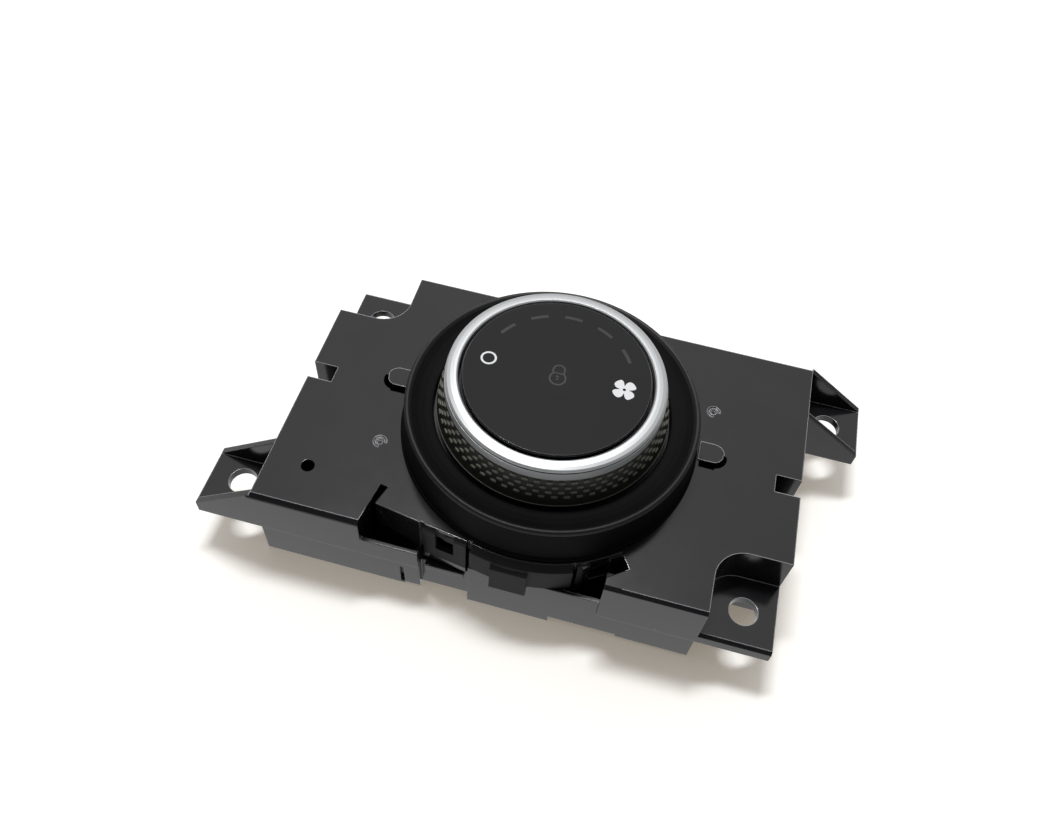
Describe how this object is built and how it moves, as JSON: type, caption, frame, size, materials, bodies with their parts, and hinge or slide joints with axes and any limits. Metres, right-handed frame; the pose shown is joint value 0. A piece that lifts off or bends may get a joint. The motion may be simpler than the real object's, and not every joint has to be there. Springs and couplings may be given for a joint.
{
  "type": "rotary fan control module",
  "caption": "Rotary control dial on a black screw-on housing: an endless clicking ring turns round a fixed black face with printed fan, off and lock symbols.",
  "frame": {"origin": "on the flat back of the rear cover, under the dial axis", "axes": "+Z out of the dial face, +X along the long side of the housing to the right, +Y towards the housing's back edge; the snap straps are on -Y"},
  "size_m": [0.1382, 0.0688, 0.043],
  "materials": {
    "housing_black": "fine satin grain on the deck, smoother pockets and ears",
    "cover_black": "smooth moulded black",
    "surround_black": "fine satin black",
    "post_black": "plain moulded",
    "face_black": "smoked translucent black with printed marks",
    "diffuser_white": "milky white",
    "shield_black": "plain moulded",
    "guide_clear": "polished clear acrylic",
    "board_green": "solder mask",
    "led_lens": "clear lens on white body",
    "sensor_black": "moulded black",
    "chip_black": "moulded black, tinned legs",
    "component_tan": "ceramic and metal cans",
    "socket_grey": "glass-filled nylon",
    "pin_gold": "gold flash",
    "screw_zinc": "zinc plated",
    "spring_steel": "spring steel",
    "bearing_white": "low-friction plastic",
    "plunger_white": "acetal",
    "rotor_black": "moulded black",
    "grip_graphite": "soft-touch, fine brick knurl",
    "trim_silver": "satin silver"
  },
  "bodies": {
    "housing": {"front_housing": "housing_black", "rear_cover": "cover_black", "dial_surround": "surround_black", "centre_post": "post_black", "dial_face": "face_black", "diffuser": "diffuser_white", "light_shield": "shield_black", "light_guide": "guide_clear", "circuit_board": "board_green", "indicator_leds": "led_lens", "photo_interrupters": "sensor_black", "microcontroller": "chip_black", "board_components": "component_tan", "socket_shell": "socket_grey", "socket_pins": "pin_gold", "cover_screws": "screw_zinc", "board_screws": "screw_zinc", "post_screws": "screw_zinc", "retaining_ring": "spring_steel", "bearing_ring": "bearing_white", "detent_spring": "spring_steel"},
    "knob": {"rotor": "rotor_black", "grip_ring": "grip_graphite", "trim_ring": "trim_silver"},
    "plunger": {"detent_plunger": "plunger_white"}
  },
  "joints": [
    {"name": "knob_turn", "type": "hinge", "parent": "housing", "child": "knob", "pos_m": [0, 0, 0.035], "axis": [0, 0, 1], "continuous": true},
    {"name": "detent_travel", "type": "slide", "parent": "housing", "child": "plunger", "axis": [0, 0, -1], "range_m": [0, 0.0009], "stiffness_N_per_m": 400, "springref_m": -0.0012, "deforming": ["detent_spring"]}
  ]
}
